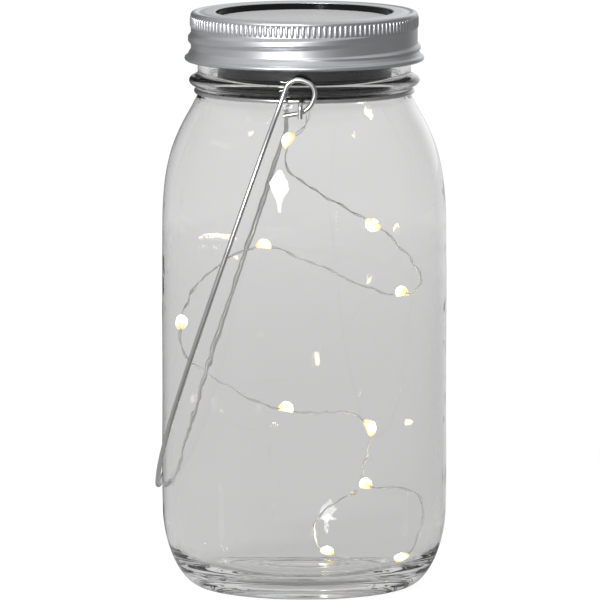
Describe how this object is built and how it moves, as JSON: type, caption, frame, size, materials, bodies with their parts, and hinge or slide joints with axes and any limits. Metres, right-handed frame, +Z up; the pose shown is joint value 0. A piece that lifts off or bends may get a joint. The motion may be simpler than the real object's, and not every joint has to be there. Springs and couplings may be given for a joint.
{
  "type": "mason jar lantern",
  "caption": "Clear threaded glass jar lantern with a solar lid module under a screw band, a string of lit drops inside and a wire bail handle.",
  "frame": {"origin": "centre of the jar's base, on the plane that it stands on; the hanging bail moves the box's own centre by under 1 mm", "axes": "+Z up along the jar's axis, Y along the bail's pivot, -X the side that the bail leans on, -Y the front"},
  "size_m": [0.0885, 0.092, 0.1764],
  "materials": {
    "glass": "clear pressed glass with a faint grey-green tint",
    "steel_wire": "bright plated wire",
    "band_steel": "bright tinned sheet",
    "gasket": "soft sealing ring",
    "black_plastic": "black moulded plastic",
    "panel_board": "glass-fibre board",
    "silicon": "dark blue-black cell strips",
    "resin": "clear cast resin",
    "screw_steel": "zinc plated",
    "chip_black": "moulded package",
    "inductor_green": "dipped lacquer",
    "cell_can": "nickel plated can",
    "sleeve_green": "shrink sleeve",
    "lead_red": "insulated lead",
    "lead_black": "insulated lead",
    "silver_wire": "twisted silver wire",
    "drop_resin": "clear drop, lit warm white",
    "led_yellow": "phosphor coated chip",
    "rubber_black": "moulded grommet"
  },
  "bodies": {
    "jar": {"glass_jar": "glass", "neck_wire": "steel_wire"},
    "lid": {"rim_gasket": "gasket", "lid_housing": "black_plastic", "solar_backing": "panel_board", "solar_cells": "silicon", "panel_resin": "resin", "bottom_cover": "black_plastic", "cover_screws": "screw_steel", "circuit_board": "panel_board", "driver_chip": "chip_black", "inductor": "inductor_green", "switch_body": "screw_steel", "battery_cell": "cell_can", "battery_sleeve": "sleeve_green", "battery_plate": "cell_can", "battery_spring": "cell_can", "wire_grommet": "rubber_black", "string_leads": "silver_wire", "panel_lead_red": "lead_red", "panel_lead_black": "lead_black", "light_wire": "silver_wire", "led_chips": "led_yellow", "wire_tip": "drop_resin", "led_drop_01": "drop_resin", "led_drop_02": "drop_resin", "led_drop_03": "drop_resin", "led_drop_04": "drop_resin", "led_drop_05": "drop_resin", "led_drop_06": "drop_resin", "led_drop_07": "drop_resin", "led_drop_08": "drop_resin", "led_drop_09": "drop_resin", "led_drop_10": "drop_resin"},
    "band": {"screw_band": "band_steel"},
    "bail": {"bail_handle": "steel_wire"},
    "switch": {"switch_knob": "black_plastic"}
  },
  "joints": [
    {"name": "lid_lift", "type": "slide", "parent": "jar", "child": "lid", "axis": [0, 0, 1], "range_m": [0, 0.0102]},
    {"name": "band_turn", "type": "hinge", "parent": "lid", "child": "band", "pos_m": [0, 0, 0.169], "axis": [0, 0, 1], "range_deg": [0, 578]},
    {"name": "bail_swing", "type": "hinge", "parent": "jar", "child": "bail", "pos_m": [0.002, 0, 0.1523], "axis": [0, 1, 0], "range_deg": [0, 318]},
    {"name": "switch_slide", "type": "slide", "parent": "lid", "child": "switch", "axis": [1, 0, 0], "range_m": [0, 0.002]}
  ],
  "couplings": [
    {"joint": "lid_lift", "follows": "band_turn", "m_per_rad": 0.0010106}
  ]
}
